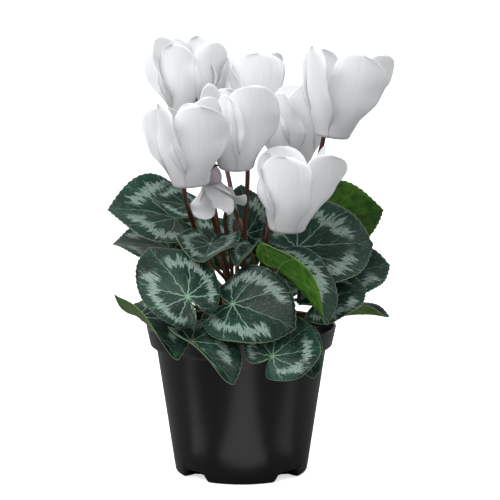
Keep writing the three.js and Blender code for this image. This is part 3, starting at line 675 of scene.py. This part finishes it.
def petal_surface(bloom, i, share, across):
    """The middle of one petal. Below share 0 it is the fold: an arc of a small circle that
    rolls from the mouth's edge over to hang or stand, as far as reflex says. Above 0 it is
    the blade: it flares from the axis and bows evenly with its length, its width swells and
    tapers as a power of a cosine, it follows a circle round the axis near the mouth and is
    hollow across beyond, twists about its length, and its edges ripple and wander."""
    length = bloom.get("lengths", PETAL_LENGTHS)[i]
    half_width = bloom.get("widths", PETAL_HALF_WIDTHS)[i]
    flare = np.radians(bloom.get("flare", FLARE) + bloom["pressed"][i])
    bow = np.radians(bloom.get("bow", BOW))
    folded = np.radians(bloom.get("reflex", REFLEX))
    blade, fold_share = np.clip(share, 0, 1), np.clip(1 + share, 0, 1)
    turned_back = folded * fold_share
    start = np.pi - folded + flare
    bent = start + bow * blade
    slope = np.where(share < 0, np.pi - turned_back, bent)
    out = MOUTH_RADIUS + MOUTH_ROLL * (1 - np.cos(turned_back))
    out = out + length / bow * (np.cos(start) - np.cos(bent))
    height = -MOUTH_ROLL * np.sin(turned_back) + length / bow * (np.sin(bent) - np.sin(start))
    neck = CLAW_HALF_WIDTH + (NECK_HALF_WIDTH - CLAW_HALF_WIDTH) * fold_share
    swollen = NECK_HALF_WIDTH + (half_width - NECK_HALF_WIDTH) * rise(0, PETAL_BELLY, blade)
    narrowed = np.clip((blade - PETAL_SHOULDER) / (1 - PETAL_SHOULDER), 0, 1) ** 2.2
    taper = np.cos(np.pi / 2 * narrowed) ** 0.6
    wide = swollen * taper + TIP_HALF_WIDTH * (1 - taper)
    side = np.sign(across)
    uneven = 1 + 0.12 * np.sin(2.1 * i + 5 * blade) * side * rise(0.15, 0.5, blade)
    reach = across * np.where(share < 0, neck, wide * uneven)
    hollow = rise(0, 0.5, blade)
    ringed = (1 - hollow) * -reach ** 2 / (2 * out)
    wavy = np.abs(across) ** 2.5 * rise(0.2, 0.75, blade)
    long_wave = 1.8 * np.sin(7 * blade + 2.4 * i + 1.9 * side)
    inward = wavy * (long_wave + 0.6 * np.sin(17 * blade + i)) - PETAL_HOLLOW * hollow * reach ** 2
    turn = TWIST * blade ** 1.2
    aside = reach * np.cos(turn) - inward * np.sin(turn)
    off = reach * np.sin(turn) + inward * np.cos(turn)
    x, z = out + ringed + off * np.cos(slope), height - off * np.sin(slope)
    spread = np.radians(bloom["stem"] + 180 + PETAL_SPACING * (i - 2))
    turned_x = x * np.cos(spread) - aside * np.sin(spread)
    turned_y = x * np.sin(spread) + aside * np.cos(spread)
    return np.stack([turned_x, turned_y, z], axis=-1)


def petal_plate(middle, thickness, start):
    """Two sheets either side of a grid of points, joined round their edge."""
    down, over = np.gradient(middle, axis=0), np.gradient(middle, axis=1)
    normal = unit(np.cross(over, down))
    half = thickness[..., None] / 2
    rows, columns = middle.shape[:2]
    count = rows * columns
    points = np.vstack([(middle + normal * half).reshape(-1, 3), (middle - normal * half).reshape(-1, 3)])
    i, j = np.meshgrid(np.arange(rows - 1), np.arange(columns - 1), indexing="ij")
    a = start + (i * columns + j).reshape(-1)
    quads = np.stack([a, a + 1, a + columns + 1, a + columns], axis=-1)
    grid = np.arange(count).reshape(rows, columns) + start
    edge = np.concatenate([grid[0, :-1], grid[:-1, -1], grid[-1, :0:-1], grid[:0:-1, 0]])
    after = np.roll(edge, -1)
    rim = np.stack([edge, edge + count, after + count, after], axis=-1)
    return points, [*quads, *(quads[:, ::-1] + count), *rim]


# Petal: white, silky, with faint veins along its length, about forty across a petal of any
# width. Its mauve-grey where it folds at the mouth and on the cup, and the grey that fades up
# the lower blade, are painted shade.
petal_skin, tree = new_material("petal_white_silky")
place = piece_place(tree)
stretch = vector_work(tree, "MULTIPLY", place, (1.2, 14.0, 3.0))
veins = add(tree, "ShaderNodeTexNoise", None, {"Vector": stretch, "Scale": 1.6, "Detail": 3.0})
along = add(tree, "ShaderNodeSeparateXYZ", None, {0: place}).outputs[0]
white = blended(tree, linear("#e4e6e8"), linear("#ebedee"), soft_step(tree, veins, 0.3, 0.7))
# Painted shade: grey over the lower blade, then mauve-grey at the fold and on the cup.
shaded = blended(tree, linear("#cfcfd0"), white, soft_step(tree, along, 0.0, 0.45))
petal_colour_with_painted_shade = blended(tree, linear("#b3a9b1"), shaded, soft_step(tree, along, -0.9, 0.1))
silk = add(tree, "ShaderNodeBump", None, {"Strength": 0.15, "Distance": 0.0003, "Height": veins})
principled(tree, {
    "Base Color": petal_colour_with_painted_shade, "Roughness": 0.5, "Normal": silk, "IOR": 1.4,
    "Subsurface Weight": 0.5, "Subsurface Radius": (1.0, 1.0, 1.0), "Subsurface Scale": 0.0012,
})

# Flower stalk: smooth, fleshy, dark red-brown, with fine streaks of about 1 mm.
pedicel_skin, tree = new_material("flower_stalk_skin")
streaks = add(tree, "ShaderNodeTexNoise", None, {"Scale": 120.0, "Detail": 3.0})
flush = blended(tree, linear("#3c1a11"), linear("#5c2d1e"), soft_step(tree, streaks, 0.35, 0.65))
principled(tree, {"Base Color": flush, "Roughness": 0.42})

rows = np.concatenate([np.linspace(-1, 0, 9)[:-1], np.linspace(0, 1, 34)])
columns = np.linspace(-1, 1, 17)
share, across = np.meshgrid(rows, columns, indexing="ij")
petal_thickness = PETAL_THICKNESS * (1 - 0.4 * across ** 6)
lining = [(0, CUP_HEIGHT - 2.5), (3.2, 7), (MOUTH_RADIUS - 0.4, 4), (MOUTH_RADIUS - 0.6, 0)]
cup_skin = [(MOUTH_RADIUS + 0.5, -0.3), (MOUTH_RADIUS + 1.3, 4), (5, CUP_HEIGHT - 2), (0, CUP_HEIGHT)]
cup_profile = np.vstack([rounded(lining, 12), rounded(cup_skin, 16)])
calyx_profile = np.array([
    (0, CUP_HEIGHT + 0.3), (2.6, CUP_HEIGHT - 0.6), (4.4, CUP_HEIGHT - 1.5), (5.1, CUP_HEIGHT - 1.3),
    (4.4, CUP_HEIGHT - 0.4), (2.8, CUP_HEIGHT + 0.8), (1.5, CUP_HEIGHT + 2), (0, CUP_HEIGHT + 2.3),
])
HOOK = [(14, -12), (12.5, 2), (9.5, 11.5), (4.6, 16.6), (0.8, 15.6), (0, CUP_HEIGHT + 1)]
PEDICEL_RADIUS, PEDICEL_STEPS, PEDICEL_COLUMNS = 1.55, 90, 14
HEAD_COLUMNS = 40

for bloom in blooms:
    turn, mouth = bloom_turn(bloom), np.array(bloom["mouth"], dtype=float)
    all_points, all_faces, all_places, count = [], [], [], 0
    for i in range(PETAL_COUNT):
        middle = petal_surface(bloom, i, share, across)
        points, faces = petal_plate(middle, petal_thickness, count)
        all_points.append(points)
        all_faces += faces
        place = np.stack([share, across, np.full_like(share, i)], axis=-1).reshape(-1, 3)
        all_places += [place, place]
        count += len(points)
    cup, faces = revolved(cup_profile, HEAD_COLUMNS, count)
    all_points.append(cup)
    all_faces += faces
    all_places.append(np.tile([-1.0, 0.0, 9.0], (len(cup), 1)))
    points = np.vstack(all_points) @ turn.T + mouth
    piece = new_piece(
        bloom["name"].replace("bloom", "flower"), points, all_faces, [petal_skin], None,
        {"place": np.vstack(all_places)},
    )
    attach(piece, "root")
    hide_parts(bloom["name"])

    stem = np.radians(bloom["stem"])
    outward = np.array([np.cos(stem), np.sin(stem), 0])
    hook = np.array([out * outward + [0, 0, up] for out, up in HOOK]) @ turn.T + mouth
    foot = crown_point(bloom["foot"])
    middle = bloom["via"] if "via" in bloom else (foot + hook[0]) / 2 + [0, 0, 8]
    path = rounded([foot, foot + [0, 0, COLLAR_HEIGHT], middle, *hook], PEDICEL_STEPS)
    narrowing = np.interp(np.linspace(0, 1, PEDICEL_STEPS), [0, 0.05, 0.5, 1], [1.05, 1, 0.9, 0.85])
    side = np.cross([0, 0, 1], outward)
    stalk, faces = stem_tube(path, PEDICEL_RADIUS * narrowing, side, PEDICEL_COLUMNS, 0)
    calyx, calyx_faces = revolved(calyx_profile, HEAD_COLUMNS, len(stalk))
    around = np.arctan2(calyx[:, 1], calyx[:, 0])
    outer = rise(2, 4.4, np.hypot(calyx[:, 0], calyx[:, 1]))
    calyx[:, :2] *= (1 + 0.22 * np.cos(PETAL_COUNT * around) * outer)[:, None]
    piece = new_piece(
        bloom["name"].replace("bloom", "pedicel"), np.vstack([stalk, calyx @ turn.T + mouth]),
        faces + calyx_faces, [pedicel_skin],
    )
    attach(piece, "root")
    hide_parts(bloom["name"] + "_stalk")

# ---- bud ----
# One flower still shut, its petals wrapped in a point that hangs from a hooked stalk.
BUD_FOOT, BUD_STALK_RADIUS = (11.5, -118), 1.2
BUD_RADIUS, BUD_TOP, BUD_LENGTH = 3.3, 1.5, 14
BUD_PATH = [
    (-6, -15, 135), (-10, -17, 160), (-9, -18, 168), (-6, -19, 171), (-3, -20, 168), (-2, -20, 164),
]

# Shut petals: wrapped tight and matt, dull brown, with buff streaks under 1 mm.
bud_skin, tree = new_material("petal_shut")
streaks = add(tree, "ShaderNodeTexNoise", None, {"Scale": 150.0, "Detail": 3.0})
wrapped = blended(tree, linear("#4a2a1e"), linear("#8a7662"), soft_step(tree, streaks, 0.45, 0.7))
principled(tree, {"Base Color": wrapped, "Roughness": 0.5})

foot = crown_point(BUD_FOOT)
bud_path = rounded([foot, foot + [0, 0, COLLAR_HEIGHT], *BUD_PATH], PEDICEL_STEPS)
stalk_radius = np.full(PEDICEL_STEPS, BUD_STALK_RADIUS)
stalk, stalk_faces = stem_tube(bud_path, stalk_radius, np.array([0.0, 1.0, 0.0]), PEDICEL_COLUMNS, 0)
share = np.linspace(0, 1, 18)
swelling = BUD_RADIUS * np.sin(np.pi * share ** 0.75) ** 0.8
bud_profile = np.stack([swelling, BUD_TOP - share * (BUD_LENGTH + BUD_TOP)], axis=-1)
head, head_faces = revolved(bud_profile[::-1], HEAD_COLUMNS, len(stalk))
around = np.arctan2(head[:, 1], head[:, 0])
head[:, :2] *= (1 + 0.06 * np.cos(PETAL_COUNT * around + 0.35 * head[:, 2]))[:, None]
head += BUD_PATH[-1]
kinds = [0] * len(stalk_faces) + [1] * len(head_faces)
bud = new_piece(
    "shut_flower", np.vstack([stalk, head]), stalk_faces + head_faces, [pedicel_skin, bud_skin], kinds,
)
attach(bud, "root")
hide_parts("bud")

# ---- floor, light and camera ----
# A lit white table before a white wall: bright behind and dimmer in front, with one large
# soft lamp high on the left, a weak one on the right and three small panels that lie on
# the table and draw soft bands on the pot.
FLOOR_REACH = 20_000

# Opal acrylic lit from below: to the camera it glows an even white, and to the plant it's
# a plain matt grey, which keeps the shaded sides dark.
lit_table, tree = new_material("acrylic_lit_from_below")
seen = add(tree, "ShaderNodeLightPath").outputs["Is Camera Ray"]
principled(tree, {
    "Base Color": blended(tree, linear("#7c7d7e"), linear("#f4f5f6"), seen),
    "Roughness": 0.9, "Specular IOR Level": 0.1,
    "Emission Color": linear("#ffffff"), "Emission Strength": scaled(tree, seen, 0.62),
})
floor_points = FLOOR_REACH * np.array([(-1, -1, 0), (1, -1, 0), (1, 1, 0), (-1, 1, 0)])
floor = new_piece("floor", floor_points, [np.arange(4)], [lit_table])

scene = bpy.context.scene
scene.view_settings.view_transform = "Standard"
world = bpy.data.worlds.new("studio")
world.use_nodes = True
scene.world = world
sky = world.node_tree
direction = add(sky, "ShaderNodeTexCoord").outputs["Generated"]
bearing = add(sky, "ShaderNodeSeparateXYZ", None, {0: direction})
seen = add(sky, "ShaderNodeLightPath").outputs["Is Camera Ray"]
behind = add(sky, "ShaderNodeMapRange", None, {
    "Value": bearing.outputs["Y"], "From Min": -0.2, "From Max": 0.9, "To Min": 0.58, "To Max": 1.2,
})
backdrop = sky.nodes["Background"]
backdrop.inputs["Color"].default_value = linear("#ffffff")
sky.links.new(work(sky, "MAXIMUM", behind, seen), backdrop.inputs["Strength"])


def area_light(name, place, size, power, aim):
    """A soft rectangular light at a place in metres, turned towards aim."""
    lamp = bpy.data.lights.new(name, "AREA")
    lamp.shape, lamp.energy = "RECTANGLE", power
    lamp.size, lamp.size_y = size
    light = bpy.data.objects.new(name, lamp)
    light.location = place
    away = unit(np.subtract(place, aim).astype(float))
    across = unit(np.cross([0, 0, 1], away))
    over = np.cross(away, across)
    light.rotation_euler = (
        np.arctan2(over[2], away[2]), np.arcsin(-across[2]), np.arctan2(across[1], across[0]),
    )
    light.visible_camera = False
    scene.collection.objects.link(light)


PLANT_MIDDLE = (0.0, 0.0, 0.14)
area_light("key", (-0.7, -0.9, 1.4), (1.2, 1.2), 25, PLANT_MIDDLE)
area_light("fill", (1.3, -0.4, 1.0), (1.0, 1.0), 6, PLANT_MIDDLE)
area_light("sheen_front", (0.010, -0.160, 0.003), (0.07, 0.20), 0.055, (0.009, -0.150, 1.0))
area_light("sheen_left", (-0.155, -0.066, 0.003), (0.03, 0.20), 0.018, (-0.145, -0.064, 1.0))
area_light("sheen_right", (0.155, -0.066, 0.003), (0.04, 0.20), 0.015, (0.145, -0.064, 1.0))

CAMERA_DISTANCE, CAMERA_HEIGHT_ANGLE = 1.4, np.radians(8.91)
SENSOR_WIDTH, FOCAL_LENGTH = 36, 160.272
TARGET_X, TARGET_Z = 0.0055, 0.1413
camera_data = bpy.data.cameras.new("camera")
camera_data.sensor_width = SENSOR_WIDTH
camera_data.lens = FOCAL_LENGTH
camera = bpy.data.objects.new("camera", camera_data)
away = CAMERA_DISTANCE * np.cos(CAMERA_HEIGHT_ANGLE)
above = CAMERA_DISTANCE * np.sin(CAMERA_HEIGHT_ANGLE)
camera.location = (TARGET_X, -away, TARGET_Z + above)
camera.rotation_euler = (np.pi / 2 - CAMERA_HEIGHT_ANGLE, 0, 0)
scene.collection.objects.link(camera)
scene.camera = camera
